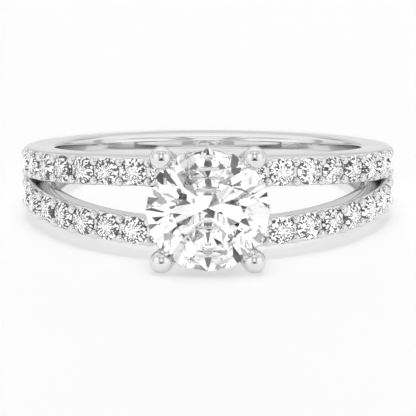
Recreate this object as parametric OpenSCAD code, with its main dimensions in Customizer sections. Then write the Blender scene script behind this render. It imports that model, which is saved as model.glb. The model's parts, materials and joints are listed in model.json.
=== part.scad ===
// Split shank ring that lies on its side: a plain back, two pavé strands on each side, a four-prong head.
// The ring is modelled around its own finger axis with the head towards -Y, then laid at its rest tilt.

/* [Finger hole] */
// Diameter of the finger hole
finger_d = 17; // [14:0.1:22]
// Width of the inner edge's comfort rounding at the back, along the finger axis
comfort_w = 0.4; // [0.2:0.01:0.5]
// Depth of the inner edge's comfort rounding at the back, into the wall
comfort_depth = 0.7; // [0.3:0.01:0.9]
// Rounding of the inner edge at the sides and on the strands
inner_round = 0.15; // [0.1:0.01:0.2]
// Width of the rounding of a strand's inner edge beside the split, along the finger axis
split_round_w = 0.38; // [0.2:0.01:0.42]
// Depth of the rounding of a strand's inner edge beside the split, into the wall
split_round_depth = 0.9; // [0.3:0.01:0.95]

/* [Shank] */
// Wall of the plain shank, from the finger hole to the outside
shank_wall = 1.7; // [1.5:0.05:2.4]
// Width of the shank at the back
back_w = 1.9; // [1.7:0.02:2.6]
// Width of the shank at the sides, where it splits
side_w = 3.04; // [2.8:0.02:3.4]
// Width across both strands under the head
head_w = 4.74; // [4.5:0.02:5.2]
// Width of the opening between the strands under the head
split_w = 1.76; // [1.5:0.02:1.9]
// Angle from the head at which the strands part
split_angle = 88; // [82:1:92]
// Rounding of the outer edges
edge_round = 0.15; // [0.1:0.01:0.3]

/* [Pavé] */
// Diameter of a pavé stone
pave_d = 1.44; // [1.3:0.01:1.48]
// Gap along the strand between two pavé stones
pave_gap = 0.165; // [0.14:0.005:0.3]
// Number of pavé stones on one side of one strand
pave_count = 8; // [6:1:8]
// Distance along the strand from the head's middle to the first pavé stone's middle
pave_start = 2.36; // [2.2:0.02:2.6]
// Depth of the strand's stone-carrying face below the plain shank's outside
pave_cut = 0.17; // [0.15:0.01:0.3]
// Depth of a pavé stone's girdle below the plain shank's outside
pave_sink = 0.14; // [0.08:0.01:0.2]
// Radius of a bead prong between the pavé stones
bead_r = 0.275; // [0.24:0.005:0.3]
// Distance of a bead prong's middle from the strand's middle line
bead_offset = 0.51; // [0.48:0.01:0.6]
// Height of a bead prong above the plain shank's outside
bead_rise = 0.12; // [0.05:0.01:0.2]

/* [Head] */
// Diameter of the centre stone
centre_d = 6.4; // [6:0.05:7]
// Height of the centre stone's girdle above the finger hole's wall
head_h = 3.35; // [3.3:0.05:4.4]
// Radius of a prong at its round tip
prong_r = 0.61; // [0.5:0.01:0.7]
// Radius of a prong where it stands on the strands
foot_r = 0.34; // [0.3:0.01:0.4]
// Distance of a prong tip's middle from the head's middle, across the ring
prong_x = 2.38; // [2.3:0.01:2.6]
// Distance of a prong tip's middle from the head's middle, along the finger axis
prong_z = 2.69; // [2.5:0.01:2.8]
// Height of a prong tip's middle above the girdle
tip_h = 0.1; // [0:0.01:0.4]
// Distance of a prong foot's middle from the head's middle, across the ring
foot_x = 0.88; // [0.8:0.01:1]
// Wire radius of the upper gallery rail
upper_rail_r = 0.3; // [0.24:0.01:0.34]
// Wire radius of the lower gallery rail
lower_rail_r = 0.26; // [0.2:0.01:0.28]
// Clearance between the head's metal and the first pavé stones
head_gap = 0.08; // [0.04:0.01:0.12]

/* [Cut] */
// Clearance between a stone and its seat
seat_gap = 0.02; // [0.01:0.005:0.04]
// Table's diameter as a share of the stone's
table_share = 0.57; // [0.53:0.01:0.62]
// Crown's height as a share of the stone's diameter
crown_share = 0.15; // [0.13:0.01:0.17]
// Girdle's thickness as a share of the stone's diameter
girdle_share = 0.03; // [0.02:0.005:0.04]
// Pavilion's depth as a share of the stone's diameter
pavilion_share = 0.43; // [0.41:0.005:0.45]

/* [Hidden] */
$fn = 48;
FINGER_R = finger_d / 2;
OUTER_R = FINGER_R + shank_wall;

// Metal left inside the finger hole's wall for the bore to cut away
BORE_SKIN = 0.08;

// Half widths that the shank's outline passes through
BACK_H = back_w / 2;
SIDE_H = side_w / 2;
HEAD_H = head_w / 2;
SPLIT_H = split_w / 2;
SPLIT_POWER = 1.4;
SPLIT_FADE = 0.92;

// Angles from the head between which the comfort rounding grows to its full width and depth
COMFORT_FROM = 95;
COMFORT_WIDE = 130;
COMFORT_DEEP = 170;

// Pavé layout on the circle of the girdles
PAVE_R = OUTER_R - pave_sink;
PAVE_FACE_R = OUTER_R - pave_cut;
PAVE_FIRST = pave_start / PAVE_R * 180 / PI;
PAVE_PITCH = (pave_d + pave_gap) / PAVE_R * 180 / PI;
PAVE_END = PAVE_FIRST + pave_count * PAVE_PITCH;
BEAD_TIP_R = OUTER_R + bead_rise;
BEAD_FOOT_R = FINGER_R + comfort_depth + bead_r;

// Head levels, as distances from the finger axis
GIRDLE_Y = FINGER_R + head_h;
TABLE_Y = GIRDLE_Y + (crown_share + girdle_share / 2) * centre_d;
TIP_Y = GIRDLE_Y + tip_h;
FOOT_Y = PAVE_FACE_R - foot_r;
FOOT_Z = (HEAD_H + SPLIT_H) / 2;
UPPER_RAIL_Y = (GIRDLE_Y + PAVE_FACE_R) / 2;
LOWER_RAIL_Y = PAVE_FACE_R;
UPPER_RAIL = let (t = (UPPER_RAIL_Y - FOOT_Y) / (TIP_Y - FOOT_Y))
    norm([foot_x + t * (prong_x - foot_x), FOOT_Z + t * (prong_z - FOOT_Z)]);
LOWER_RAIL = norm([pave_start, FOOT_Z]) - pave_d / 2 - lower_rail_r - head_gap;

// Sections of the shank around the finger axis, and steps along each rounding
SECTIONS = 60;
ROUND_STEPS = 3;
COMFORT_STEPS = 4;

// The ring lies on its two lower prong tips and on the lower edge of its back
REST_RUN = OUTER_R - edge_round + TIP_Y;
REST_RISE = prong_z - (BACK_H - edge_round);
REST_TILT = atan(REST_RISE / REST_RUN) + asin((prong_r - edge_round) / norm([REST_RUN, REST_RISE]));
REST_Z = prong_z * cos(REST_TILT) - TIP_Y * sin(REST_TILT) + prong_r;
FRONT_TIP = TIP_Y * cos(REST_TILT) + prong_z * sin(REST_TILT) + prong_r;
FRONT_TABLE = TABLE_Y * cos(REST_TILT) + table_share * centre_d / 2 * sin(REST_TILT);
BACK_EDGE = (OUTER_R - edge_round) * cos(REST_TILT) + (BACK_H - edge_round) * sin(REST_TILT) + edge_round;
REST_Y = (max(FRONT_TIP, FRONT_TABLE) - BACK_EDGE) / 2;

// Where the long lower facets end, as a share of the stone's radius
LOWER_SHARE = 0.24;

// Each strand side as the sign across the ring and the sign along the finger axis
STRANDS = [[-1, 1], [1, 1], [-1, -1], [1, -1]];
PAVE_TOTAL = len(STRANDS) * pave_count;

function two_digits(n) = n < 10 ? str("0", n) : str(n);
function pave_name(i) = str("pave_stone_", two_digits(i + 1));

// A share that runs from 0 to 1 between two angles with a soft start and end
function fade(a, from, to) = let (t = min(1, max(0, (a - from) / (to - from)))) t * t * (3 - 2 * t);

// Half width of the whole shank, and half width of the split, at an angle from the head
function half_w(a) = SIDE_H + (cos(a) > 0 ? HEAD_H - SIDE_H : SIDE_H - BACK_H) * cos(a);
function half_split(a) = a >= split_angle ? 0 : SPLIT_H * pow(sin(90 * (1 - a / split_angle)), SPLIT_POWER);
function strand_mid(a) = (half_w(a) + half_split(a)) / 2;

// Outer radius of the metal, cut down where it carries stones
function metal_r(a) = OUTER_R - pave_cut * (1 - fade(a, PAVE_END - PAVE_PITCH / 2, PAVE_END));

// A quarter of an ellipse in one section, as points of radius and height
function quarter(r, z, dr, dz, from, steps) =
    [for (k = [0:steps]) let (t = from + 90 * k / steps) [r + dr * cos(t), z + dz * sin(t)]];

// One section of the upper half of the shank, from its lower outer edge over the top to its lower inner edge
function half_section(a) =
    let (
        top = half_w(a),
        low = half_split(a),
        out = metal_r(a),
        parted = 1 - fade(a, SPLIT_FADE * split_angle, split_angle),
        low_round = edge_round * parted,
        wide = inner_round + (comfort_w - inner_round) * fade(a, COMFORT_FROM, COMFORT_WIDE),
        deep = inner_round + (comfort_depth - inner_round) * fade(a, COMFORT_FROM, COMFORT_DEEP) + BORE_SKIN,
        split_deep = (split_round_depth + BORE_SKIN) * parted,
        split_wide = split_round_w * parted,
        in = FINGER_R - BORE_SKIN
    )
    concat(
        quarter(out - low_round, low + low_round, low_round, low_round, -90, ROUND_STEPS),
        quarter(out - edge_round, top - edge_round, edge_round, edge_round, 0, ROUND_STEPS),
        quarter(in + deep, top - wide, deep, wide, 90, COMFORT_STEPS),
        quarter(in + split_deep, low + split_wide, split_deep, split_wide, 180, COMFORT_STEPS)
    );

// The shank with its split, as one closed surface: the two halves share their edges where they are joined
module shank() {
    count = 2 * (ROUND_STEPS + 1) + 2 * (COMFORT_STEPS + 1);
    angle = [for (i = [0:SECTIONS - 1]) 360 * i / SECTIONS];
    turn = [for (a = angle) a > 180 ? 360 - a : a];
    joined = [for (a = turn) a >= split_angle];
    points = [
        for (side = [1, -1])
            for (i = [0:SECTIONS - 1])
                for (p = half_section(turn[i]))
                    [p[0] * sin(angle[i]), -p[0] * cos(angle[i]), side * p[1]]
    ];
    function at(half, i, k) =
        joined[i] && k <= ROUND_STEPS ? i * count
        : joined[i] && k >= count - COMFORT_STEPS - 1 ? (i + 1) * count - 1
        : (half * SECTIONS + i) * count + k;
    function sorted_way(half, f) = half == 0 ? f : [f[0], f[2], f[1]];
    faces = [
        for (half = [0, 1])
            for (i = [0:SECTIONS - 1])
                for (k = [0:count - 1])
                    let (
                        j = (i + 1) % SECTIONS,
                        m = (k + 1) % count,
                        a = at(half, i, k),
                        b = at(half, i, m),
                        c = at(half, j, m),
                        d = at(half, j, k)
                    )
                    if (!(k == count - 1 && joined[i] && joined[j]))
                        for (f = [[a, b, c], [a, c, d]])
                            if (f[0] != f[1] && f[1] != f[2] && f[2] != f[0])
                                sorted_way(half, f)
    ];
    polyhedron(points = points, faces = faces);
}

// A round post with a domed end, standing along Z from one radius to another
module domed_post(from_r, to_r, length) {
    rotate_extrude()
        intersection() {
            union() {
                polygon([[0, 0], [from_r, 0], [to_r, length], [0, length]]);
                translate([0, length]) circle(r = to_r);
            }
            square([2 * to_r, length + 2 * to_r]);
        }
}

// Places its children on a strand at an angle from the head, with Z pointing away from the finger axis
module on_strand(strand, a, r, offset) {
    rotate([0, 0, strand[0] * a])
        translate([0, -r, strand[1] * (strand_mid(a) + offset)])
            rotate([90, 0, 0])
                children();
}

module bead_prongs() {
    for (strand = STRANDS)
        for (k = [0:pave_count])
            for (side = [-1, 1])
                on_strand(strand, PAVE_FIRST + (k - 0.5) * PAVE_PITCH, BEAD_FOOT_R, side * bead_offset)
                    domed_post(bead_r, bead_r, BEAD_TIP_R - BEAD_FOOT_R - bead_r);
}

// Places its children at the head, with Z pointing out of the head and X across the ring
module on_head(y) {
    translate([0, -y, 0]) rotate([90, 0, 0]) children();
}

module prongs() {
    run = [prong_x - foot_x, prong_z - FOOT_Z, TIP_Y - FOOT_Y];
    length = norm(run);
    lean = acos(run[2] / length);
    for (x = [-1, 1])
        for (z = [-1, 1])
            on_head(FOOT_Y)
                translate([x * foot_x, z * FOOT_Z, 0])
                    rotate([0, lean, atan2(z * run[1], x * run[0])])
                        domed_post(foot_r, prong_r, length);
}

module gallery_rail(radius, wire_r) {
    rotate_extrude() translate([radius, 0]) circle(r = wire_r);
}

// The hollow that a stone sits in: the stone's round outline with its clearance
module stone_seat(d) {
    r = d / 2 + seat_gap;
    rim = girdle_share * d / 2;
    rotate_extrude()
        polygon([
            [0, -rim - pavilion_share * d - seat_gap],
            [r, -rim],
            [r, rim],
            [table_share * d / 2 + seat_gap, rim + crown_share * d + seat_gap],
            [0, rim + crown_share * d + seat_gap]
        ]);
}

// Round brilliant cut with Z out of its table and its girdle's middle at the origin
module brilliant(d) {
    r = d / 2;
    rim = girdle_share * d / 2;
    top = rim + crown_share * d;
    tip = -rim - pavilion_share * d;
    half = 22.5;
    table_r = table_share * r;
    star_r = (table_r * cos(half) + r) / 2;
    star_z = top - (star_r * cos(half) - table_r) * (top - rim) / (r - table_r);
    lower_r = LOWER_SHARE * r;
    lower_z = tip + lower_r * cos(half) / r * (-rim - tip);
    function ring(radius, z, from, step, n) =
        [for (i = [0:n - 1]) [radius * cos(from + step * i), radius * sin(from + step * i), z]];
    points = concat(
        ring(table_r, top, 0, 45, 8),
        ring(star_r, star_z, half, 45, 8),
        ring(r, rim, 0, half, 16),
        ring(r, -rim, 0, half, 16),
        ring(lower_r, lower_z, half, 45, 8),
        [[0, 0, tip]]
    );
    STAR = 8;
    UPPER = 16;
    LOWER = 32;
    DEEP = 48;
    CULET = 56;
    faces = concat(
        [[for (i = [7:-1:0]) i]],
        [for (i = [0:7]) [i, (i + 1) % 8, STAR + i]],
        [for (i = [0:7]) [i, STAR + i, UPPER + 2 * i, STAR + (i + 7) % 8]],
        [for (i = [0:7]) [STAR + i, UPPER + 2 * i + 1, UPPER + 2 * i]],
        [for (i = [0:7]) [STAR + i, UPPER + (2 * i + 2) % 16, UPPER + 2 * i + 1]],
        [for (j = [0:15]) [UPPER + j, UPPER + (j + 1) % 16, LOWER + (j + 1) % 16, LOWER + j]],
        [for (i = [0:7]) [DEEP + i, LOWER + 2 * i, LOWER + 2 * i + 1]],
        [for (i = [0:7]) [DEEP + i, LOWER + 2 * i + 1, LOWER + (2 * i + 2) % 16]],
        [for (i = [0:7]) [CULET, DEEP + (i + 7) % 8, LOWER + 2 * i, DEEP + i]]
    );
    polyhedron(points = points, faces = faces);
}

module at_rest() {
    translate([0, REST_Y, REST_Z]) rotate([-REST_TILT, 0, 0]) children();
}

module ring_mount() {
    color("gainsboro")
        at_rest()
            difference() {
                union() {
                    shank();
                    bead_prongs();
                    prongs();
                    on_head(UPPER_RAIL_Y) gallery_rail(UPPER_RAIL, upper_rail_r);
                    on_head(LOWER_RAIL_Y) gallery_rail(LOWER_RAIL, lower_rail_r);
                }
                cylinder(r = FINGER_R, h = 2 * head_w, center = true);
                on_head(GIRDLE_Y) stone_seat(centre_d);
                for (strand = STRANDS)
                    for (k = [0:pave_count - 1])
                        on_strand(strand, PAVE_FIRST + k * PAVE_PITCH, PAVE_R, 0) stone_seat(pave_d);
            }
}

module centre_stone() {
    color("white") at_rest() on_head(GIRDLE_Y) brilliant(centre_d);
}

module pave_stone(i) {
    strand = STRANDS[floor(i / pave_count)];
    k = i % pave_count;
    color("aliceblue")
        at_rest()
            on_strand(strand, PAVE_FIRST + k * PAVE_PITCH, PAVE_R, 0) brilliant(pave_d);
}

ring_mount();
centre_stone();
for (i = [0:PAVE_TOTAL - 1])
    pave_stone(i);
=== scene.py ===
import json
import math

import bmesh
import bpy
from mathutils import Matrix, Vector


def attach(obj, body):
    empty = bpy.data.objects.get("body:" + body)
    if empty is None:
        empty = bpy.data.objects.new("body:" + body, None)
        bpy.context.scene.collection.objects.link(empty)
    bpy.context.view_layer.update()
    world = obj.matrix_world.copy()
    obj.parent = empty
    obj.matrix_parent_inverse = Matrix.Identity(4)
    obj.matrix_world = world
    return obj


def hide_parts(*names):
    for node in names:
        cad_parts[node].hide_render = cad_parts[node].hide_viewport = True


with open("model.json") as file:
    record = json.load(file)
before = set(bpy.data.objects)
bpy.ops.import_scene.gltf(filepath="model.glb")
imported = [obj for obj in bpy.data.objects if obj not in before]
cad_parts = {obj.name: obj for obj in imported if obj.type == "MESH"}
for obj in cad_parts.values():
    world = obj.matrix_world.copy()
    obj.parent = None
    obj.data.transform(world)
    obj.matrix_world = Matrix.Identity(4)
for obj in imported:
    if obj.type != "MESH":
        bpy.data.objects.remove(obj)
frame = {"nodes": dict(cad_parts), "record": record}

bl_info = {
    "name": "Split Shank Ring",
    "version": (1, 0, 0),
    "blender": (4, 5, 0),
    "location": "View3D > Sidebar > Ring",
    "description": "Polished metal, bead prongs, head and brilliant-cut stones of a split shank ring",
    "category": "Object",
}

MM = 0.001
BORE = next(m for m in frame["record"]["mounts"] if m["name"] == "finger_bore")
BODY = "root"
METAL_NODE, CENTRE_NODE, PAVE_PREFIX = "ring_mount", "centre_stone", "pave_stone"
METAL_SLOT, CENTRE_SLOT, PAVE_SLOT = "white_metal", "centre_diamond", "pave_diamond"

# Each strand side as the sign across the ring and the sign along the finger axis
STRANDS = [(-1, 1), (1, 1), (-1, -1), (1, -1)]
BOTH_SIDES = (-1, 1)

# Vertices closer than WELD become one, and edges sharper than SHARP stay sharp
WELD = 0.0001 * MM
SHARP = math.radians(38)

# The shank's sections and the points of one half of a section. WALL_POINT is the last one of the
# comfort rounding, where the inner wall begins, and WALL_FADE the points over which its painted shade fades.
SECTIONS = 360
ROUND_STEPS = 5
COMFORT_STEPS = 8
SECTION_POINTS = 2 * (ROUND_STEPS + 1) + 2 * (COMFORT_STEPS + 1)
WALL_POINT = 2 * (ROUND_STEPS + 1) + COMFORT_STEPS
WALL_FADE = 3

# Sides of the round cutters for the seats
SHANK_SEAT_SIDES, BEAD_SEAT_SIDES, HEAD_SEAT_SIDES = 40, 64, 128

# Where the corners of a brilliant's main lower facets lie, as a share of its radius
LOWER_CORNER = 0.24

# The turn from each stone or bead to the next, so that they don't look alike
SPIN_STEP = 2.4

DIAMOND_IOR = 2.417


def rest_matrix():
    """From the ring's own frame, Z along the finger hole and the head towards -Y, to where it lies."""
    axis = Vector(BORE["axis"])
    return Matrix.Translation(BORE["pos_m"]) @ Matrix.Rotation(-math.atan2(axis.y, axis.z), 4, "X")


def number(name, description, default, **kind):
    """A setting that is a plain number, or of the kind given."""
    return bpy.props.FloatProperty(name=name, description=description, default=default, **kind)


def length(name, description, default_mm):
    return number(name, description, default_mm * MM, min=0.0, precision=5, unit="LENGTH")


def angle(name, description, default_degrees):
    return number(name, description, math.radians(default_degrees), subtype="ANGLE")


def colour(name, description, default):
    return bpy.props.FloatVectorProperty(
        name=name, description=description, subtype="COLOR", default=default, min=0.0, max=1.0
    )


class RingShankSettings(bpy.types.PropertyGroup):
    """Sizes of the shank and its two strands."""

    finger_d: length("Finger hole", "Diameter of the finger hole", 2 * BORE["dims"]["r_mm"])
    comfort_w: length("Comfort width", "Comfort rounding at the back, along the finger", 0.4)
    comfort_depth: length("Comfort depth", "Comfort rounding at the back, into the wall", 0.7)
    inner_round: length("Inner rounding", "Rounding of the inner edge at the sides and on the strands", 0.15)
    split_round_w: length("Split rounding width", "Inner edge beside the split, along the finger", 0.38)
    split_round_depth: length("Split rounding depth", "Inner edge beside the split, into the wall", 0.9)
    wall: length("Wall", "Wall of the plain shank", 1.7)
    back_w: length("Back width", "Width of the shank at the back", 1.9)
    side_w: length("Side width", "Width of the shank at the sides", 3.04)
    head_w: length("Head width", "Width across both strands under the head", 4.74)
    split_w: length("Split width", "Opening between the strands under the head", 1.76)
    split_angle: angle("Split angle", "Angle from the head at which the strands part", 88)
    edge_round: length("Edge rounding", "Rounding of the outer edges", 0.15)


class RingPaveSettings(bpy.types.PropertyGroup):
    """Sizes of the small stones and their bead prongs."""

    stone_d: length("Stone", "Diameter of a pavé stone", 1.44)
    gap: length("Gap", "Gap along the strand between two stones", 0.165)
    count: bpy.props.IntProperty(name="Count", description="Stones on one side of one strand", default=8)
    start: length("Start", "Distance along the strand to the first stone's middle", 2.36)
    cut: length("Cut", "Depth of the stone-carrying face below the plain outside", 0.17)
    sink: length("Sink", "Depth of a girdle below the plain outside", 0.14)
    bead_r: length("Bead radius", "Radius of a bead prong", 0.275)
    bead_offset: length("Bead offset", "Distance of a bead from the strand's middle line", 0.51)
    bead_rise: length("Bead rise", "Height of a bead above the plain outside", 0.12)


class RingHeadSettings(bpy.types.PropertyGroup):
    """Sizes of the four-prong head and the centre stone."""

    stone_d: length("Centre stone", "Diameter of the centre stone", 6.4)
    height: length("Girdle height", "Height of the girdle above the finger hole's wall", 3.35)
    prong_r: length("Tip radius", "Radius of a prong at its round tip", 0.61)
    foot_r: length("Foot radius", "Radius of a prong at its foot", 0.34)
    prong_x: length("Tip across", "Distance of a tip from the middle, across the ring", 2.38)
    prong_z: length("Tip along", "Distance of a tip from the middle, along the finger", 2.69)
    tip_h: length("Tip height", "Height of a tip's middle above the girdle", 0.1)
    foot_x: length("Foot across", "Distance of a foot from the middle, across the ring", 0.88)
    upper_rail_r: length("Upper rail", "Wire radius of the upper gallery rail", 0.3)
    lower_rail_r: length("Lower rail", "Wire radius of the lower gallery rail", 0.26)
    clear: length("Clearance", "Clearance between the head's metal and the first pavé stones", 0.08)


class RingCutSettings(bpy.types.PropertyGroup):
    """Shares of the brilliant cut, and the clearance of a seat."""

    seat_gap: length("Seat clearance", "Clearance between a stone and its seat", 0.02)
    table: number("Table", "Table as a share of the stone", 0.57)
    crown: number("Crown", "Crown as a share of the stone", 0.15)
    girdle: number("Girdle", "Girdle as a share of the stone", 0.03)
    pavilion: number("Pavilion", "Pavilion as a share of the stone", 0.43)


class RingFinishSettings(bpy.types.PropertyGroup):
    """Colours and polish."""

    metal: colour("Metal", "Colour of the polished white metal", (0.82, 0.82, 0.825))
    metal_polish: number("Metal roughness", "Roughness of the polished metal", 0.05)
    diamond: colour("Diamond", "Body colour of the stones", (1.0, 1.0, 1.0))


class RingStageSettings(bpy.types.PropertyGroup):
    """Camera, floor and light."""

    distance: length("Distance", "Camera to the middle of the finger hole", 150.0)
    elevation: angle("Elevation", "Camera above the ring's own plane", 9.2)
    focal_px: number("Focal length", "Focal length in image pixels", 2702.7)
    image_px: number("Image side", "Side of the square image", 416)
    centre_x: number("Ring across", "Where the finger hole's middle falls across the image", 207.95)
    centre_y: number("Ring down", "Where the finger hole's middle falls down the image", 172.8)
    floor_size: length("Floor", "Side of the square floor", 4000.0)
    floor_colour: colour("Floor colour", "Colour of the floor", (0.5, 0.5, 0.5))
    floor_glow: number("Floor glow", "Light that comes through the pale floor from below", 1.185)


SETTINGS = {
    "ring_shank": RingShankSettings,
    "ring_pave": RingPaveSettings,
    "ring_head": RingHeadSettings,
    "ring_cut": RingCutSettings,
    "ring_finish": RingFinishSettings,
    "ring_stage": RingStageSettings,
}


def settings(name):
    return getattr(bpy.context.scene, name)


# Shape of the shank and the head


def fade(value, start, end):
    """A share from 0 to 1 between two values, with a soft start and end."""
    t = min(1.0, max(0.0, (value - start) / (end - start)))
    return t * t * (3 - 2 * t)


def full_turn(steps):
    """Evenly spaced angles, once round."""
    return [2 * math.pi * i / steps for i in range(steps)]


def quarter(r, z, dr, dz, start, steps):
    """A quarter of an ellipse round a radius and height, as radii and heights."""
    turns = [start + math.pi / 2 * k / steps for k in range(steps + 1)]
    return [(r + dr * math.cos(t), z + dz * math.sin(t)) for t in turns]


class Shank:
    """Where the shank's surfaces and the pavé's places lie, worked out from the settings.

    Angles, a, run round the finger hole from the head, and are the same on both sides of it.
    """

    split_power = 1.4
    split_fade = 0.92
    split_slack = 0.0001
    comfort_from, comfort_wide, comfort_deep = (math.radians(a) for a in (95, 130, 170))

    def __init__(self):
        s, p = settings("ring_shank"), settings("ring_pave")
        self.s, self.p = s, p
        self.finger_r = s.finger_d / 2
        self.outer_r = self.finger_r + s.wall
        self.pave_r = self.outer_r - p.sink
        self.face_r = self.outer_r - p.cut
        self.first = p.start / self.pave_r
        self.pitch = (p.stone_d + p.gap) / self.pave_r
        self.end = self.first + p.count * self.pitch

    def half_w(self, a):
        """Half the ring's width along the finger."""
        side, far = self.s.side_w / 2, (self.s.head_w if math.cos(a) > 0 else self.s.back_w) / 2
        return side + (far - side) * abs(math.cos(a))

    def joined(self, a):
        """Whether the shank is in one piece there."""
        return a > self.s.split_angle - self.split_slack

    def half_split(self, a):
        """Half the opening between the strands."""
        if self.joined(a):
            return 0.0
        share = math.sin(math.pi / 2 * (1 - a / self.s.split_angle))
        return self.s.split_w / 2 * share ** self.split_power

    def strand_mid(self, a):
        """Height of a strand's middle line."""
        return (self.half_w(a) + self.half_split(a)) / 2

    def metal_r(self, a):
        """Radius of the outside, which steps down where stones are set."""
        return self.outer_r - self.p.cut * (1 - fade(a, self.end - self.pitch / 2, self.end))

    def half_section(self, a):
        """Radius and height of one section of the upper half, from its lower outer edge to its inner one."""
        s = self.s
        top, low, out = self.half_w(a), self.half_split(a), self.metal_r(a)
        parted = 1 - fade(a, self.split_fade * s.split_angle, s.split_angle)
        edge, low_edge = s.edge_round, s.edge_round * parted
        wide = s.inner_round + (s.comfort_w - s.inner_round) * fade(a, self.comfort_from, self.comfort_wide)
        deep = s.inner_round + (s.comfort_depth - s.inner_round) * fade(a, self.comfort_from, self.comfort_deep)
        split_wide, split_deep = s.split_round_w * parted, s.split_round_depth * parted
        inner = self.finger_r
        return (
            quarter(out - low_edge, low + low_edge, low_edge, low_edge, -math.pi / 2, ROUND_STEPS)
            + quarter(out - edge, top - edge, edge, edge, 0, ROUND_STEPS)
            + quarter(inner + deep, top - wide, deep, wide, math.pi / 2, COMFORT_STEPS)
            + quarter(inner + split_deep, low + split_wide, split_deep, split_wide, math.pi, COMFORT_STEPS)
        )

    def on_strand(self, strand, a, r, offset):
        """Matrix in the ring's frame of a place on a strand, with Z away from the finger axis."""
        across, along = strand
        return (
            Matrix.Rotation(across * a, 4, "Z")
            @ Matrix.Translation((0, -r, along * (self.strand_mid(a) + offset)))
            @ Matrix.Rotation(math.pi / 2, 4, "X")
        )

    def stone_places(self):
        """Matrices in the ring's frame of all pavé stones."""
        return [
            self.on_strand(strand, self.first + k * self.pitch, self.pave_r, 0)
            for strand in STRANDS
            for k in range(self.p.count)
        ]


class Head:
    """Where the head's prongs and rails lie, worked out from the settings.

    Heights, y, are distances from the finger axis. A run goes across, along the finger and outwards.
    """

    def __init__(self):
        shank, s = Shank(), settings("ring_head")
        self.s = s
        self.girdle_y = shank.finger_r + s.height
        self.foot_y = shank.face_r - s.foot_r
        self.foot_z = (shank.s.head_w + shank.s.split_w) / 4
        self.run = Vector(
            (s.prong_x - s.foot_x, s.prong_z - self.foot_z, self.girdle_y + s.tip_h - self.foot_y)
        )
        self.lower_y = shank.face_r
        self.upper_y = (self.girdle_y + shank.face_r) / 2
        first_stone = Vector((shank.p.start, self.foot_z)).length
        self.lower_ring_r = first_stone - shank.p.stone_d / 2 - s.lower_rail_r - s.clear
        share = (self.upper_y - self.foot_y) / self.run.z
        self.upper_ring_r = Vector((s.foot_x + share * self.run.x, self.foot_z + share * self.run.y)).length


def on_head(y):
    """Matrix in the ring's frame of a place at the head, with Z out of the head."""
    return Matrix.Translation((0, -y, 0)) @ Matrix.Rotation(math.pi / 2, 4, "X")


# Meshes


def linked_object(name, data):
    """A new object of a mesh or a camera, in the scene."""
    made = bpy.data.objects.new(name, data)
    bpy.context.scene.collection.objects.link(made)
    return made


def new_piece(name, mesh, material, *nodes, slot=METAL_SLOT):
    """A piece of the ring with its place in its mesh, which rides on the one body."""
    piece = linked_object(name, mesh)
    mesh.materials.clear()
    mesh.materials.append(material)
    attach(piece, BODY)
    if nodes:
        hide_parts(*nodes)
    return piece


def mesh_from(name, bm):
    """The bmesh as a mesh. The bmesh is freed."""
    mesh = bpy.data.meshes.new(name)
    bm.to_mesh(mesh)
    bm.free()
    return mesh


def finished_mesh(name, bm):
    """The bmesh as a smooth, welded mesh whose sharp edges stay sharp."""
    bmesh.ops.remove_doubles(bm, verts=bm.verts, dist=WELD)
    bmesh.ops.recalc_face_normals(bm, faces=bm.faces)
    for face in bm.faces:
        face.smooth = True
    for edge in bm.edges:
        edge.smooth = len(edge.link_faces) == 2 and edge.calc_face_angle() < SHARP
    return mesh_from(name, bm)


def plain_copy(source):
    """The object's evaluated mesh, after which the object is removed."""
    depsgraph = bpy.context.evaluated_depsgraph_get()
    mesh = bpy.data.meshes.new_from_object(source.evaluated_get(depsgraph))
    bpy.data.objects.remove(source)
    return mesh


def without_repeats(items):
    return list(dict.fromkeys(items))


def revolve(bm, profile, matrix, segments):
    """Adds a closed solid of revolution around Z to the bmesh. The profile runs from axis to axis."""
    rings = []
    for r, z in profile:
        turns = full_turn(segments) if r > WELD else [0.0]
        rings.append([bm.verts.new(matrix @ Vector((r * math.cos(t), r * math.sin(t), z))) for t in turns])
    for low, high in zip(rings, rings[1:]):
        for i in range(segments):
            j = (i + 1) % segments
            corners = [low[i % len(low)], low[j % len(low)], high[j % len(high)], high[i % len(high)]]
            bm.faces.new(without_repeats(corners))


def torus(bm, radius, wire_r, matrix, segments=96, sides=24):
    """Adds a ring of round wire around Z to the bmesh."""
    rings = []
    for a in full_turn(segments):
        turned = matrix @ Matrix.Rotation(a, 4, "Z")
        rings.append([
            bm.verts.new(turned @ Vector((radius + wire_r * math.cos(t), 0, wire_r * math.sin(t))))
            for t in full_turn(sides)
        ])
    for here, there in zip(rings, rings[1:] + rings[:1]):
        for k in range(sides):
            m = (k + 1) % sides
            bm.faces.new([here[k], here[m], there[m], there[k]])


def domed_post(bm, from_r, to_r, run, matrix, segments=72, dome_steps=20):
    """Adds a round post with a domed end, standing along Z, to the bmesh."""
    dome = quarter(0, run, to_r, to_r, 0, dome_steps)[:-1]
    revolve(bm, [(0, 0), (from_r, 0), *dome, (0, run + to_r)], matrix, segments)


def seat_profile(d):
    """The hollow that a stone sits in: the stone's round outline with its clearance."""
    cut = settings("ring_cut")
    gap = cut.seat_gap
    rim = cut.girdle * d / 2
    top = rim + cut.crown * d + gap
    return [
        (0, -rim - cut.pavilion * d - gap),
        (d / 2 + gap, -rim),
        (d / 2 + gap, rim),
        (cut.table * d / 2 + gap, top),
        (0, top),
    ]


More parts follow.
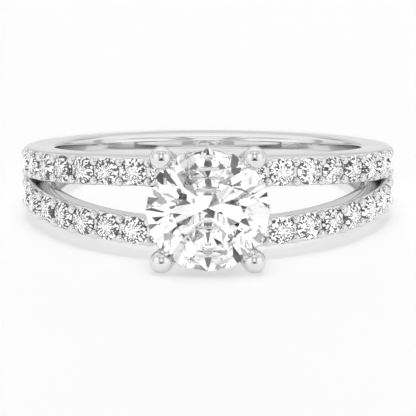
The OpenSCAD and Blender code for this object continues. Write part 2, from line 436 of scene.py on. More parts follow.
def cut_seats(mesh, places, d, segments):
    """The mesh less the seats of all stones of one size."""
    bm = bmesh.new()
    for place in places:
        revolve(bm, seat_profile(d), rest_matrix() @ place, segments)
    bmesh.ops.recalc_face_normals(bm, faces=bm.faces)
    cutter = linked_object("seats", mesh_from("seats", bm))
    worked = linked_object("worked", mesh)
    step = worked.modifiers.new("seats", "BOOLEAN")
    step.operation = "DIFFERENCE"
    step.solver = "MANIFOLD"
    step.object = cutter
    result = plain_copy(worked)
    bpy.data.objects.remove(cutter)
    if len(result.polygons) == len(mesh.polygons):
        raise RuntimeError(mesh.name + ": no seat was cut")
    bm = bmesh.new()
    bm.from_mesh(result)
    return finished_mesh(mesh.name, bm)


def shank_points(bm, shank, turns, folded):
    """Adds the sections' points of both halves to the bmesh.

    Each keeps how near it lies to the inner wall, and how far below the upper face, for the painted corner shade.
    """
    inner, down = (bm.verts.layers.float.new(name) for name in ("inner", "down"))
    verts = []
    for side in (1, -1):
        for turn, a in zip(turns, folded):
            for k, (r, z) in enumerate(shank.half_section(a)):
                place = Vector((r * math.sin(turn), -r * math.cos(turn), side * z))
                vert = bm.verts.new(rest_matrix() @ place)
                vert[inner] = max(0.0, 1 - abs(k - WALL_POINT - 0.5) / WALL_FADE)
                vert[down] = shank.half_w(a) - z
                verts.append(vert)
    return verts


def shank_mesh():
    """The shank with its split as one closed surface, whose two halves share edges where they are joined."""
    shank = Shank()
    turns = full_turn(SECTIONS)
    folded = [min(t, 2 * math.pi - t) for t in turns]
    joined = [shank.joined(a) for a in folded]
    bm = bmesh.new()
    verts = shank_points(bm, shank, turns, folded)
    last = SECTION_POINTS - 1

    def at(half, i, k):
        """A point's number, which both halves share on the seam where they are joined."""
        if joined[i] and k <= ROUND_STEPS:
            return i * SECTION_POINTS
        if joined[i] and k >= last - COMFORT_STEPS:
            return i * SECTION_POINTS + last
        return (half * SECTIONS + i) * SECTION_POINTS + k

    for half in (0, 1):
        for i in range(SECTIONS):
            j = (i + 1) % SECTIONS
            for k in range(SECTION_POINTS):
                if k == last and joined[i] and joined[j]:
                    continue
                m = (k + 1) % SECTION_POINTS
                ring = without_repeats([at(half, i, k), at(half, i, m), at(half, j, m), at(half, j, k)])
                if len(ring) > 2:
                    bm.faces.new([verts[n] for n in ring])
    for vert in [v for v in bm.verts if not v.link_faces]:
        bm.verts.remove(vert)
    return finished_mesh("shank", bm)


def brilliant_points(d):
    """The corners of a round brilliant: table, stars, upper and lower girdle, lower facets, culet."""
    cut = settings("ring_cut")
    r, rim = d / 2, cut.girdle * d / 2
    top, tip, half = rim + cut.crown * d, -rim - cut.pavilion * d, math.pi / 8
    table_r = cut.table * r
    star_r = (table_r * math.cos(half) + r) / 2
    star_z = top - (star_r * math.cos(half) - table_r) * (top - rim) / (r - table_r)
    lower_r = LOWER_CORNER * r
    lower_z = tip + lower_r * math.cos(half) / r * (-rim - tip)

    def ring(radius, z, start, n):
        turns = [start + a for a in full_turn(n)]
        return [(radius * math.cos(t), radius * math.sin(t), z) for t in turns]

    return (
        ring(table_r, top, 0, 8)
        + ring(star_r, star_z, half, 8)
        + ring(r, rim, 0, 16)
        + ring(r, -rim, 0, 16)
        + ring(lower_r, lower_z, half, 8)
        + [(0, 0, tip)]
    )


def brilliant_faces():
    """The facets of a round brilliant, as the numbers of their corners."""
    star, upper, lower, deep, culet = 8, 16, 32, 48, 56
    faces = [tuple(range(8))]
    for i in range(8):
        here, there = (i + 7) % 8, (i + 1) % 8
        main, half, following = 2 * i, 2 * i + 1, (2 * i + 2) % 16
        faces += [
            (i, star + i, there),
            (i, star + here, upper + main, star + i),
            (star + i, upper + main, upper + half),
            (star + i, upper + half, upper + following),
            (deep + i, lower + half, lower + main),
            (deep + i, lower + following, lower + half),
            (culet, deep + i, lower + main, deep + here),
        ]
    return faces + [(upper + j, lower + j, lower + (j + 1) % 16, upper + (j + 1) % 16) for j in range(16)]


def brilliant_mesh(name, d):
    """A round brilliant with Z out of its table, and its own coordinates, in radii, kept on its corners."""
    points = brilliant_points(d)
    bm = bmesh.new()
    corners = [bm.verts.new(point) for point in points]
    for face in brilliant_faces():
        bm.faces.new([corners[n] for n in face])
    bmesh.ops.recalc_face_normals(bm, faces=bm.faces)
    mesh = mesh_from(name, bm)
    own = mesh.attributes.new("own", "FLOAT_VECTOR", "POINT")
    for item, point in zip(own.data, points):
        item.vector = Vector(point) / (d / 2)
    return mesh


# Nodes


def group_socket(group, name, kind, way, default=None):
    socket = group.interface.new_socket(name=name, in_out=way, socket_type=kind)
    if default is not None:
        socket.default_value = default
    return socket


class Wiring:
    """Short ways to place nodes in one tree and to join them."""

    def __init__(self, tree):
        self.tree, self.nodes, self.links = tree, tree.nodes, tree.links

    def feed(self, socket, value):
        """Joins an output to the socket, or sets the socket's own value."""
        if isinstance(value, bpy.types.NodeSocket):
            self.links.new(value, socket)
        else:
            socket.default_value = value

    def feed_all(self, node, inputs):
        """Feeds a node's inputs, given by name or number."""
        for key, value in inputs.items():
            self.feed(node.inputs[key], value)

    def place(self, kind, inputs=(), **options):
        """A new node with its options set and its inputs fed."""
        node = self.nodes.new(kind)
        for name, value in options.items():
            setattr(node, name, value)
        self.feed_all(node, dict(inputs))
        return node

    def given(self):
        """The sockets of the tree's own inputs."""
        return self.place("NodeGroupInput").outputs

    def maths(self, operation, *values):
        return self.place("ShaderNodeMath", dict(enumerate(values)), operation=operation).outputs["Value"]

    def vectors(self, operation, *values, result="Vector"):
        node = self.place("ShaderNodeVectorMath", dict(enumerate(values)), operation=operation)
        return node.outputs[result]

    def scaled(self, vector, scale):
        node = self.place("ShaderNodeVectorMath", {0: vector, "Scale": scale}, operation="SCALE")
        return node.outputs["Vector"]

    def parts(self, vector):
        """The vector's X, Y and Z."""
        axes = self.place("ShaderNodeSeparateXYZ", {"Vector": vector}).outputs
        return axes["X"], axes["Y"], axes["Z"]

    def ramp(self, value, start, end):
        """0 to 1 as the value goes from start to end, with soft ends."""
        inputs = {"From Min": start, "From Max": end, "Value": value}
        return self.place("ShaderNodeMapRange", inputs, interpolation_type="SMOOTHSTEP").outputs["Result"]

    def mix(self, factor, first, second):
        return self.place("ShaderNodeMix", {"Factor": factor, "A": first, "B": second}).outputs["Result"]

    def mix_colours(self, factor, first, second):
        """The same between two colours, of which each is a socket or three numbers."""
        ends = [c if isinstance(c, bpy.types.NodeSocket) else (*c, 1) for c in (first, second)]
        inputs = {"Factor": factor, "A": ends[0], "B": ends[1]}
        return self.place("ShaderNodeMix", inputs, data_type="RGBA").outputs["Result"]

    def object_place(self):
        """Where a point lies on its own object."""
        return self.place("ShaderNodeTexCoord").outputs["Object"]

    def attribute(self, name, kind="Fac"):
        return self.place("ShaderNodeAttribute", attribute_name=name).outputs[kind]

    def light_path(self):
        return self.place("ShaderNodeLightPath").outputs

    def effect(self, group, **values):
        """The outputs of an effect placed with its own values, whose names are written with _ for a space."""
        inputs = {name.replace("_", " "): value for name, value in values.items()}
        return self.place("ShaderNodeGroup", inputs, node_tree=group).outputs


# Shader effects

VECTOR_SOCKETS = ("Vector", "Normal")


def shader_effect(name, inputs, outputs, fill):
    """The shader node group of that name, built the first time that it is asked for.

    Inputs are names with their defaults. fill is called with the wiring, the group's input sockets and
    a function that joins a value to one of its outputs.
    """
    if name in bpy.data.node_groups:
        return bpy.data.node_groups[name]
    group = bpy.data.node_groups.new(name, "ShaderNodeTree")
    for way, sockets in (("INPUT", inputs), ("OUTPUT", dict.fromkeys(outputs))):
        for label, default in sockets.items():
            kind = "NodeSocketVector" if label in VECTOR_SOCKETS else "NodeSocketFloat"
            group_socket(group, label, kind, way, default)
    wiring = Wiring(group)
    results = wiring.place("NodeGroupOutput").inputs
    fill(wiring, wiring.given(), lambda label, value: wiring.feed(results[label], value))
    return group


def polish_effect():
    """Fine polishing marks: roughness and height that vary softly and along faint hairlines."""

    def fill(wiring, given, give):
        place = wiring.object_place()
        stretched = wiring.place("ShaderNodeMapping", {"Vector": place, "Scale": (1, 1, 0.06)})
        clouds = wiring.place("ShaderNodeTexNoise", {"Vector": place, "Scale": given["Cloud size"], "Detail": 3})
        hairs = wiring.place(
            "ShaderNodeTexNoise",
            {"Vector": stretched.outputs["Vector"], "Scale": given["Hairline size"], "Detail": 2},
        )
        spread = wiring.place("ShaderNodeMapRange", {
            "Value": clouds.outputs["Fac"], "From Min": 0.3, "From Max": 0.7, "To Min": 0.6, "To Max": 1.4,
        })
        give("Roughness", wiring.maths("MULTIPLY", spread.outputs["Result"], given["Roughness"]))
        give("Height", hairs.outputs["Fac"])
        give("Tone", clouds.outputs["Fac"])

    inputs = {"Roughness": 0.05, "Cloud size": 900.0, "Hairline size": 9000.0}
    return shader_effect("fine_polish", inputs, ("Roughness", "Height", "Tone"), fill)


def painted_corner_shade_effect():
    """Where shade is painted on the inside of the shank, towards its two side corners.

    The painted shade lies on the inner wall below the comfort rounding, and reaches further down and is
    stronger towards the corners.
    """
    dark_from, dark_full = 5.9 * MM, 7.6 * MM
    deeper_from, deeper_full = 6.8 * MM, 7.8 * MM
    reach_near, reach_more, reach_soft = 0.72 * MM, 1.5 * MM, 0.45 * MM

    def fill(wiring, given, give):
        side = wiring.maths("ABSOLUTE", wiring.parts(wiring.object_place())[0])
        reach = wiring.maths("MULTIPLY_ADD", wiring.ramp(side, deeper_from, deeper_full), reach_more, reach_near)
        upper = wiring.ramp(wiring.attribute("down"), reach, wiring.maths("SUBTRACT", reach, reach_soft))
        wall = wiring.maths("MULTIPLY", wiring.ramp(side, dark_from, dark_full), wiring.attribute("inner"))
        give("Mask", wiring.maths("MULTIPLY", wall, upper))

    return shader_effect("painted_corner_shade", {}, ("Mask",), fill)


def painted_sparkle_effect():
    """Painted broken light of a brilliant: cells drawn out from its middle, some painted bright and some dark.

    The stone's place on the ring shifts the cells, so that no two stones are alike.
    """
    shift_per_metre = 400
    painted_rim_darker = 0.35

    def fill(wiring, given, give):
        flat = wiring.vectors("MULTIPLY", wiring.attribute("own", "Vector"), (1, 1, 0))
        radius = wiring.vectors("LENGTH", flat, result="Value")
        around = wiring.scaled(wiring.vectors("NORMALIZE", flat), given["Rays"])
        outwards = wiring.place("ShaderNodeCombineXYZ", {"Z": wiring.maths("MULTIPLY", radius, given["Rings"])})
        polar = wiring.vectors("ADD", around, outwards.outputs["Vector"])
        sample = wiring.vectors("ADD", polar, wiring.scaled(wiring.object_place(), shift_per_metre))
        cells = wiring.place("ShaderNodeTexVoronoi", {"Vector": sample, "Scale": 1.0}).outputs["Color"]
        parts = wiring.place("ShaderNodeSeparateColor", {"Color": cells}).outputs
        outer = wiring.maths("MINIMUM", wiring.maths("ADD", radius, painted_rim_darker), 1.0)
        bright = wiring.maths("GREATER_THAN", parts["Red"], wiring.maths("MULTIPLY", given["Dark share"], outer))
        grey = wiring.maths("MULTIPLY", parts["Green"], given["Grey"])
        give("Tone", wiring.maths("MAXIMUM", bright, grey))
        tip = wiring.scaled(wiring.vectors("SUBTRACT", cells, (0.5, 0.5, 0.5)), given["Tip"])
        normal = wiring.place("ShaderNodeNewGeometry").outputs["Normal"]
        give("Normal", wiring.vectors("NORMALIZE", wiring.vectors("ADD", normal, tip)))

    inputs = {"Rays": 5.0, "Rings": 5.0, "Dark share": 0.4, "Grey": 0.35, "Tip": 0.3}
    return shader_effect("painted_fine_sparkle", inputs, ("Tone", "Normal"), fill)


def broken_light_effect():
    """Patches of light and dark that a cut stone picks up from its surroundings."""

    def fill(wiring, given, give):
        cells = wiring.place("ShaderNodeTexVoronoi", {"Vector": given["Vector"], "Scale": given["Scale"]})
        parts = wiring.place("ShaderNodeSeparateColor", {"Color": cells.outputs["Color"]}).outputs
        dark = wiring.maths("LESS_THAN", parts["Red"], given["Dark share"])
        give("Tone", wiring.mix(dark, given["Light"], wiring.maths("MULTIPLY", parts["Green"], given["Dark"])))

    inputs = {"Vector": None, "Scale": 6.0, "Dark share": 0.3, "Light": 1.5, "Dark": 0.3}
    return shader_effect("broken_light", inputs, ("Tone",), fill)


def seen_through_stone(wiring, vector, scale, level):
    """The given level of light, with broken light in its place where it is seen through a stone."""
    patches = wiring.effect(broken_light_effect(), Vector=vector, Scale=scale)
    seen = wiring.maths("GREATER_THAN", wiring.light_path()["Transmission Depth"], 0.5)
    return wiring.mix(seen, level, patches["Tone"])


# Materials


def new_material(name):
    """A material, its wiring and its shader."""
    material = bpy.data.materials.new(name)
    material.use_nodes = True
    wiring = Wiring(material.node_tree)
    return material, wiring, wiring.nodes["Principled BSDF"]


def painted_crevice_shade(wiring):
    """Painted crevice shade: the share of light that is left close to what the metal touches, from how open it lies,
    painted into its colour.
    """
    reach, most_painted_shade = 0.16 * MM, 0.1
    crevice = wiring.place("ShaderNodeAmbientOcclusion", {"Distance": reach})
    return wiring.maths("MULTIPLY_ADD", crevice.outputs["AO"], most_painted_shade, 1 - most_painted_shade)


def polished_metal(name, bump):
    """High-polished white metal with faint hairlines, with painted shade in the shank's inner corners and in
    crevices.

    Metal that is seen in other metal is painted brighter: a painted reflection level.
    """
    if name in bpy.data.materials:
        return bpy.data.materials[name]
    edge_tint, cloud_tone, painted_mirror_tone, painted_corner_dark = 0.78, 0.985, 0.89, 0.8
    finish = settings("ring_finish")
    material, wiring, shader = new_material(name)
    polish = wiring.effect(polish_effect(), Roughness=finish.metal_polish)
    colour = Vector(finish.metal)
    clouded = wiring.mix_colours(polish["Tone"], colour * cloud_tone, colour)
    # Painted reflection: metal seen in other metal gets a brighter colour than metal seen directly
    mirrored = wiring.maths("MINIMUM", wiring.light_path()["Glossy Depth"], 1.0)
    painted_brighter_in_mirrors = wiring.mix_colours(mirrored, clouded, (painted_mirror_tone,) * 3)
    painted_corner_mask = wiring.effect(painted_corner_shade_effect())["Mask"]
    # Painted shade: the metal's colour is darkened in the shank's inner corners and in crevices
    left = wiring.maths("MULTIPLY", painted_crevice_shade(wiring), wiring.maths("MULTIPLY_ADD", painted_corner_mask, -painted_corner_dark, 1.0))
    relief = wiring.place("ShaderNodeBump", {
        "Strength": bump, "Distance": 0.001 * MM, "Height": polish["Height"],
    })
    wiring.feed_all(shader, {
        "Metallic": 1.0,
        "Specular Tint": (edge_tint, edge_tint, edge_tint, 1),
        "Base Color": wiring.scaled(painted_brighter_in_mirrors, left),
        "Roughness": polish["Roughness"],
        "Normal": relief.outputs["Normal"],
    })
    return material


def diamond(name, glow, **painted_sparkle_values):
    """Clear stone with a brilliant's refraction and fine broken light painted into its colour.

    The glow is painted light: an emission of the stone, seen by the camera alone.
    """
    if name in bpy.data.materials:
        return bpy.data.materials[name]
    mirror_share, painted_dark_tone = 0.3, 0.02
    material, wiring, shader = new_material(name)
    painted_sparkle = wiring.effect(painted_sparkle_effect(), **painted_sparkle_values)
    colour = Vector(settings("ring_finish").diamond)
    # Painted sparkle: the stone's colour goes nearly black in the dark cells
    painted_sparkle_colour = wiring.mix_colours(painted_sparkle["Tone"], colour * painted_dark_tone, colour)
    wiring.feed_all(shader, {
        "IOR": DIAMOND_IOR,
        "Transmission Weight": 1.0,
        "Roughness": 0.0,
        "Specular Tint": (mirror_share, mirror_share, mirror_share, 1),
        "Base Color": painted_sparkle_colour,
        "Normal": painted_sparkle["Normal"],
    })
    # Painted glow, which only the camera sees
    if glow:
        seen = wiring.maths("MULTIPLY", wiring.light_path()["Is Camera Ray"], glow)
        wiring.feed_all(shader, {"Emission Color": painted_sparkle_colour, "Emission Strength": seen})
    return material


# Geometry nodes


def standing_tree(name, build_shape):
    """Geometry nodes that stand a shape on every point, with Z along the point's out direction, and turn it."""
    tree = bpy.data.node_groups.new(name, "GeometryNodeTree")
    group_socket(tree, "Geometry", "NodeSocketGeometry", "INPUT")
    group_socket(tree, "Material", "NodeSocketMaterial", "INPUT")
    group_socket(tree, "Geometry", "NodeSocketGeometry", "OUTPUT")
    wiring = Wiring(tree)
    shape = build_shape(wiring)
    given = wiring.given()

    def attribute(name, kind):
        return wiring.place("GeometryNodeInputNamedAttribute", {"Name": name}, data_type=kind).outputs["Attribute"]

    aligned = wiring.place(
        "FunctionNodeAlignRotationToVector", {"Vector": attribute("out", "FLOAT_VECTOR")}, axis="Z"
    )
    spin = wiring.place("FunctionNodeAxisAngleToRotation", {"Axis": (0, 0, 1), "Angle": attribute("spin", "FLOAT")})
    turned = wiring.place("FunctionNodeRotateRotation", {
        "Rotation": aligned.outputs["Rotation"], "Rotate By": spin.outputs["Rotation"],
    }, rotation_space="LOCAL")
    stand = wiring.place("GeometryNodeInstanceOnPoints", {
        "Points": given["Geometry"], "Instance": shape, "Rotation": turned.outputs["Rotation"],
    })
    real = wiring.place("GeometryNodeRealizeInstances", {"Geometry": stand.outputs["Instances"]})
    dressed = wiring.place("GeometryNodeSetMaterial", {
        "Geometry": real.outputs["Geometry"], "Material": given["Material"],
    })
    wiring.place("NodeGroupOutput", {"Geometry": dressed.outputs["Geometry"]})
    return tree


def post_shape(wiring):
    """A ball whose lower half is drawn out downwards into a post."""
    group_socket(wiring.tree, "Bead radius", "NodeSocketFloat", "INPUT", 0.275 * MM)
    group_socket(wiring.tree, "Post height", "NodeSocketFloat", "INPUT", 0.6 * MM)
    just_below_middle = -0.01 * MM
    given = wiring.given()
    ball = wiring.place("GeometryNodeMeshUVSphere", {
        "Segments": 32, "Rings": 16, "Radius": given["Bead radius"],
    })
    height = wiring.parts(wiring.place("GeometryNodeInputPosition").outputs["Position"])[2]
    below = wiring.place(
        "FunctionNodeCompare", {"A": height, "B": just_below_middle}, data_type="FLOAT", operation="LESS_THAN"
    )
    down = wiring.maths("MULTIPLY", given["Post height"], -1)
    drop = wiring.place("ShaderNodeCombineXYZ", {"Z": down})
    post = wiring.place("GeometryNodeSetPosition", {
        "Geometry": ball.outputs["Mesh"], "Selection": below.outputs["Result"], "Offset": drop.outputs["Vector"],
    })
    return post.outputs["Geometry"]


def object_shape(wiring):
    """The mesh of an object that is handed in."""
    group_socket(wiring.tree, "Shape", "NodeSocketObject", "INPUT")
    return wiring.place("GeometryNodeObjectInfo", {"Object": wiring.given()["Shape"]}).outputs["Geometry"]


def standing_mesh(name, places, tree, values):
    """The plain mesh that a standing tree makes at places given as matrices."""
    mesh = bpy.data.meshes.new(name)
    mesh.from_pydata([place.translation for place in places], [], [])
    mesh.attributes.new("out", "FLOAT_VECTOR", "POINT")
    mesh.attributes.new("spin", "FLOAT", "POINT")
    for i, place in enumerate(places):
        mesh.attributes["out"].data[i].vector = place.to_3x3() @ Vector((0, 0, 1))
        mesh.attributes["spin"].data[i].value = SPIN_STEP * i
    source = linked_object(name, mesh)
    step = source.modifiers.new("tree", "NODES")
    step.node_group = tree
    for item in tree.interface.items_tree:
        if item.item_type == "SOCKET" and item.in_out == "INPUT" and item.name in values:
            step[item.identifier] = values[item.name]
    result = plain_copy(source)
    if not result.vertices:
        raise RuntimeError(name + ": the tree made no mesh")
    result.name = name
    return result


# Studio


class Sky(Wiring):
    """Masks over the directions of the world: X across the ring, -Y towards the camera, Z up.

    Left and right are the same, so every mask reads the direction folded over to one side.
    """

    def __init__(self, tree):
        super().__init__(tree)
        self.direction = self.place("ShaderNodeTexCoord").outputs["Generated"]
        x, self.y, self.z = self.parts(self.direction)
        self.side = self.maths("ABSOLUTE", x)
        folded = self.place("ShaderNodeCombineXYZ", {"X": self.side, "Y": self.y, "Z": self.z})
        self.folded = folded.outputs["Vector"]

    def over(self, value, limit, soft=0.03):
        return self.ramp(value, limit - soft, limit + soft)

    def under(self, value, limit, soft=0.03):
        return self.ramp(value, limit + soft, limit - soft)

    def every(self, *masks):
        result = masks[0]
        for mask in masks[1:]:
            result = self.maths("MULTIPLY", result, mask)
        return result

    def spot(self, direction, inner, outer):
        """1 within the inner angle of a direction, fading to 0 at the outer angle, in degrees."""
        near = self.vectors("DOT_PRODUCT", self.folded, Vector(direction).normalized(), result="Value")
        return self.ramp(near, math.cos(math.radians(outer)), math.cos(math.radians(inner)))

    def off_plane(self, first, first_share, second, second_share):
        """How far a direction lies off a slanted plane."""
        return self.maths(
            "SUBTRACT", self.maths("MULTIPLY", first, first_share), self.maths("MULTIPLY", second, second_share)
        )


def studio_layers(sky):
    """The studio's levels of light and the masks where they lie, from the lowest layer to the topmost."""
    y, z, side = sky.y, sky.z, sky.side
    over, under, every, spot = sky.over, sky.under, sky.every, sky.spot
    back_slope = sky.off_plane(y, 0.81, z, 0.585)
    top_gap = sky.off_plane(y, 1.0, side, 0.3)
    return [
        # Ceiling, side panels, the ceiling's far part, and the grey wall behind the camera
        (1.3, over(z, 0.5, 0.1)),
        (1.15, every(over(side, 0.62, 0.06), over(z, 0.2, 0.06))),
        (1.3, every(over(z, 0.72, 0.08), over(y, -0.2, 0.08))),
        (0.75, every(under(y, 0.0, 0.1), over(z, 0.27, 0.05), under(side, 0.75, 0.1))),
        (1.3, over(z, 0.86, 0.05)),
        # Dark stands behind the ring, a gap in the ceiling and one down the back
        (0.5, spot((0.34, 0.84, 0.42), 4, 10)),
        (0.7, spot((0.61, 0.79, 0.07), 6, 12)),
        (0.4, every(over(top_gap, -0.13), under(top_gap, -0.03), over(z, 0.75, 0.05))),
        (0.65, every(over(back_slope, -0.09), under(back_slope, 0.06), over(side, 0.35, 0.12), under(z, 0.6))),
        # Lamps overhead and to the left and right of the camera
        (1.4, spot((0, 0.26, 0.97), 12, 16)),
        (1.4, spot((0.77, -0.5, 0.4), 21, 28)),
        # The dark camera with a stand at each side, the lamp above it and the gaps beside that
        (0.02, every(under(y, -0.6), under(side, 0.33), under(z, 0.22), over(z, -0.1))),
        (0.6, spot((0.26, -0.96, 0.075), 4, 6)),
        (1.5, spot((0, -0.83, 0.56), 12, 16)),
        (0.6, every(over(side, 0.19), under(side, 0.28), under(y, -0.08), over(z, 0.45))),
    ]


def studio_world():
    """White studio with lamps and dark gaps for metal and stones to mirror.

    What lies on matt surfaces comes from one soft lamp overhead.
    """
    back_level, strength = 1.1, 0.8
    patch_scale = 6.0
    lamp_level, lamp_edge, lamp_soft = 9.9, 0.955, 0.03
    world = bpy.data.worlds.new("studio")
    bpy.context.scene.world = world
    world.use_nodes = True
    world.node_tree.nodes.clear()
    sky = Sky(world.node_tree)
    level = back_level
    for layer_level, mask in studio_layers(sky):
        level = sky.mix(mask, level, layer_level)
    level = seen_through_stone(sky, sky.direction, patch_scale, level)
    lamp = sky.maths("MULTIPLY", sky.over(sky.z, lamp_edge, lamp_soft), lamp_level)
    scattered = sky.maths("GREATER_THAN", sky.light_path()["Diffuse Depth"], 0.5)
    level = sky.mix(scattered, level, lamp)
    background = sky.place("ShaderNodeBackground", {"Color": level, "Strength": strength})
    sky.place("ShaderNodeOutputWorld", {"Surface": background.outputs["Background"]})


def painted_dark_floor_mirror(wiring):
    """Mask of a painted dark reflection: 1 where metal and stones mirror the floor's far part on the camera's side,
    and 0 elsewhere.
    """
    spread, nearest = 0.45, 42 * MM
    x, y, _ = wiring.parts(wiring.object_place())
    away = wiring.maths("MULTIPLY", y, -1)
    narrow = wiring.maths("LESS_THAN", wiring.maths("ABSOLUTE", x), wiring.maths("MULTIPLY", away, spread))
    far = wiring.maths("GREATER_THAN", away, nearest)
    path = wiring.light_path()
    mirrors = wiring.maths("SUBTRACT", path["Ray Depth"], path["Diffuse Depth"])
    once = wiring.maths("COMPARE", mirrors, 1, 0.5)
    return wiring.maths("MULTIPLY", wiring.maths("MULTIPLY", narrow, far), once)


def pale_floor(stage):
    """Pale matt floor that glows faintly, and is painted black where metal and stones mirror it in front of the ring.
    """
    patch_scale = 0.2 / MM
    material, wiring, shader = new_material("pale_floor")
    # Painted dark reflection: the floor is black where metal and stones mirror its far front part
    colour = wiring.mix_colours(painted_dark_floor_mirror(wiring), stage.floor_colour, (0, 0, 0))
    # Painted broken light: where the floor is seen through a stone, its glow breaks into patches of light and dark
    glow = seen_through_stone(wiring, wiring.object_place(), patch_scale, stage.floor_glow)
    wiring.feed_all(shader, {
        "Roughness": 0.6,
        "Specular IOR Level": 0.2,
        "Base Color": colour,
        "Emission Color": wiring.scaled(colour, glow),
        "Emission Strength": 1.0,
    })
    return material


# Operators


class RING_OT_shank(bpy.types.Operator):
    """Build the polished shank with its two strands and the seats cut into them"""

    bl_idname = "ring.shank"
    bl_label = "Shank"

    def execute(self, context):
        shank = Shank()
        mesh = cut_seats(shank_mesh(), shank.stone_places(), shank.p.stone_d, SHANK_SEAT_SIDES)
        new_piece("shank", mesh, polished_metal("polished_shank", 0.03), METAL_NODE)
        return {"FINISHED"}


class RING_OT_beads(bpy.types.Operator):
    """Stand the shared bead prongs between the pavé stones"""

    bl_idname = "ring.beads"
    bl_label = "Bead prongs"

    def execute(self, context):
        shank = Shank()
        pave = shank.p
        top = shank.outer_r + pave.bead_rise - pave.bead_r
        foot = shank.finger_r + shank.s.comfort_depth + pave.bead_r
        places = [
            rest_matrix() @ shank.on_strand(strand, shank.first + between * shank.pitch, top, side * pave.bead_offset)
            for strand in STRANDS
            for between in [k - 0.5 for k in range(pave.count + 1)]
            for side in BOTH_SIDES
        ]
        metal = polished_metal("polished_beads", 0.0)
        values = {"Bead radius": pave.bead_r, "Post height": top - foot, "Material": metal}
        mesh = standing_mesh("bead_prongs", places, standing_tree("bead_prongs", post_shape), values)
        mesh = cut_seats(mesh, shank.stone_places(), pave.stone_d, BEAD_SEAT_SIDES)
        new_piece("bead_prongs", mesh, metal, METAL_NODE)
        return {"FINISHED"}


class RING_OT_head(bpy.types.Operator):
    """Build the four prongs, notched for the centre stone, and the two gallery rails"""

    bl_idname = "ring.head"
    bl_label = "Head"

    def execute(self, context):
        head = Head()
        metal = polished_metal("polished_head", 0.0)
        mesh = cut_seats(self.prongs(head), [on_head(head.girdle_y)], head.s.stone_d, HEAD_SEAT_SIDES)
        new_piece("head_prongs", mesh, metal, METAL_NODE)
        new_piece("gallery_rails", self.rails(head), metal, METAL_NODE)
        return {"FINISHED"}

    def prongs(self, head):
        bm = bmesh.new()
        run = head.run
        for x in BOTH_SIDES:
            for z in BOTH_SIDES:
                lean = Vector((x * run.x, z * run.y, run.z)).to_track_quat("Z", "Y").to_matrix().to_4x4()
                foot = Matrix.Translation((x * head.s.foot_x, z * head.foot_z, 0))
                place = rest_matrix() @ on_head(head.foot_y) @ foot @ lean
                domed_post(bm, head.s.foot_r, head.s.prong_r, run.length, place)
        return finished_mesh("head_prongs", bm)

    def rails(self, head):
        bm = bmesh.new()
        torus(bm, head.upper_ring_r, head.s.upper_rail_r, rest_matrix() @ on_head(head.upper_y))
        torus(bm, head.lower_ring_r, head.s.lower_rail_r, rest_matrix() @ on_head(head.lower_y))
        return finished_mesh("gallery_rails", bm)


class RING_OT_stones(bpy.types.Operator):
    """Build the centre stone and the pavé stones with their diamond finish"""

    bl_idname = "ring.stones"
    bl_label = "Stones"

    def execute(self, context):
        shank, head = Shank(), Head()
        # Both kinds carry painted sparkle, and the pavé stones also a painted glow
        clear = diamond("centre_brilliant", 0.0, Rays=4.0, Rings=1.2, Dark_share=0.12, Grey=0.9, Tip=0.0)
        fine = diamond("pave_brilliant", 0.75, Rays=8.6, Rings=7.6, Dark_share=0.53, Grey=0.05, Tip=0.3)
        pave_nodes = [name for name in frame["nodes"] if name.startswith(PAVE_PREFIX)]
        self.stand("centre_brilliant", head.s.stone_d, [on_head(head.girdle_y)], clear, [CENTRE_NODE], CENTRE_SLOT)
        self.stand("pave_brilliants", shank.p.stone_d, shank.stone_places(), fine, pave_nodes, PAVE_SLOT)
        return {"FINISHED"}

    def stand(self, name, d, places, material, nodes, slot):
        """Stands stones of one size at places in the ring's frame, as one piece."""
        shape = linked_object("brilliant", brilliant_mesh("brilliant", d))
        values = {"Shape": shape, "Material": material}
        at_rest = [rest_matrix() @ place for place in places]
        mesh = standing_mesh(name, at_rest, standing_tree(name, object_shape), values)
        bpy.data.objects.remove(shape)
        new_piece(name, mesh, material, *nodes, slot=slot)


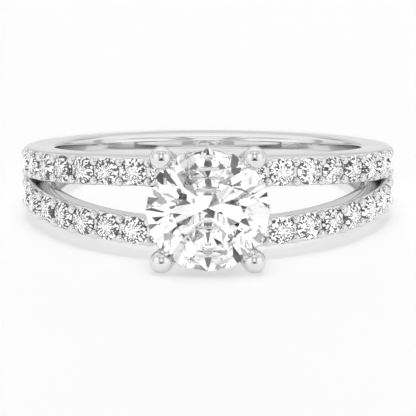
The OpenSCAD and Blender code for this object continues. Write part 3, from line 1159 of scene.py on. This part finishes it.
class RING_OT_stage(bpy.types.Operator):
    """Set the pale floor, the soft studio light and the camera"""

    bl_idname = "ring.stage"
    bl_label = "Stage"

    def execute(self, context):
        stage = settings("ring_stage")
        self.lay_floor(stage)
        studio_world()
        self.aim_camera(context, stage)
        context.scene.view_settings.view_transform = "Standard"
        paths = context.scene.cycles
        paths.max_bounces, paths.glossy_bounces, paths.transmission_bounces = 48, 40, 20
        return {"FINISHED"}

    def lay_floor(self, stage):
        half = stage.floor_size / 2
        corners = [(x * half, y * half, 0) for x, y in ((-1, -1), (1, -1), (1, 1), (-1, 1))]
        mesh = bpy.data.meshes.new("floor")
        mesh.from_pydata(corners, [], [(0, 1, 2, 3)])
        mesh.materials.append(pale_floor(stage))
        floor = linked_object("floor", mesh)

    def aim_camera(self, context, stage):
        rest = rest_matrix()
        up = stage.elevation
        away = rest.to_3x3() @ Vector((0, -math.cos(up), math.sin(up)))
        data = bpy.data.cameras.new("camera")
        data.sensor_width = 36.0
        data.lens = stage.focal_px / stage.image_px * data.sensor_width
        data.clip_start, data.clip_end = 0.01, 20
        camera = linked_object("camera", data)
        camera.location = rest.translation + away * stage.distance
        facing = (-away).to_track_quat("-Z", "Y").to_matrix()
        middle = stage.image_px / 2
        right = math.atan((middle - stage.centre_x) / stage.focal_px)
        down = math.atan((middle - stage.centre_y) / stage.focal_px)
        turned = facing @ Matrix.Rotation(-down, 3, "X") @ Matrix.Rotation(-right, 3, "Y")
        camera.rotation_mode = "QUATERNION"
        camera.rotation_quaternion = turned.to_quaternion()
        context.scene.camera = camera


# Panel and add-on

OPERATORS = [RING_OT_shank, RING_OT_beads, RING_OT_head, RING_OT_stones, RING_OT_stage]


class RING_PT_ring(bpy.types.Panel):
    """Builders and sizes of the ring"""

    bl_idname = "RING_PT_ring"
    bl_label = "Split Shank Ring"
    bl_space_type = "VIEW_3D"
    bl_region_type = "UI"
    bl_category = "Ring"

    def draw(self, context):
        for operator in OPERATORS:
            self.layout.operator(operator.bl_idname)
        for name, group in SETTINGS.items():
            box = self.layout.box()
            box.label(text=group.__doc__)
            for key in group.__annotations__:
                box.prop(getattr(context.scene, name), key)


CLASSES = [*SETTINGS.values(), *OPERATORS, RING_PT_ring]


def register():
    for cls in CLASSES:
        bpy.utils.register_class(cls)
    for name, group in SETTINGS.items():
        setattr(bpy.types.Scene, name, bpy.props.PointerProperty(type=group))


def unregister():
    for name in SETTINGS:
        delattr(bpy.types.Scene, name)
    for cls in reversed(CLASSES):
        bpy.utils.unregister_class(cls)


def main():
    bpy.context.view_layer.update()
    register()
    for build in (bpy.ops.ring.shank, bpy.ops.ring.beads, bpy.ops.ring.head, bpy.ops.ring.stones, bpy.ops.ring.stage):
        build()
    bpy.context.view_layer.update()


if __name__ == "__main__":
    main()
